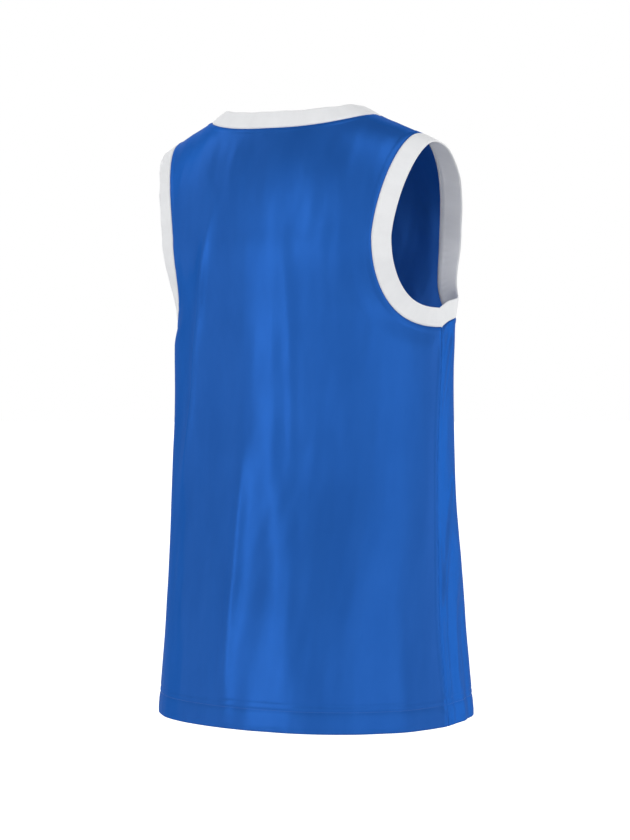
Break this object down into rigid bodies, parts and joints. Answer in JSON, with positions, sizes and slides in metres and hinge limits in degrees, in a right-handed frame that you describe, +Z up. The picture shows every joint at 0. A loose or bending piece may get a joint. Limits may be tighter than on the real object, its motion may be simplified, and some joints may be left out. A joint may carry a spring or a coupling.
{
  "type": "basketball jersey",
  "caption": "Sleeveless basketball jersey in its worn, hollow shape: knitted back and front panels with a folded contrast band round the neck and each armhole.",
  "frame": {"origin": "midway between the two neck points of the shoulder line, where the wearer's shoulders hold the jersey up", "axes": "+Z up, the wearer faces -Y, the wearer's left is +X"},
  "size_m": [0.3862, 0.3204, 0.7422],
  "materials": {
    "body_knit": "royal blue smooth polyester knit with a soft satin sheen",
    "trim_knit": "matt white flat knit"
  },
  "bodies": {
    "root": {"back_panel": "body_knit", "front_panel": "body_knit", "neck_band": "trim_knit", "armhole_band_left": "trim_knit", "armhole_band_right": "trim_knit"}
  },
  "joints": []
}
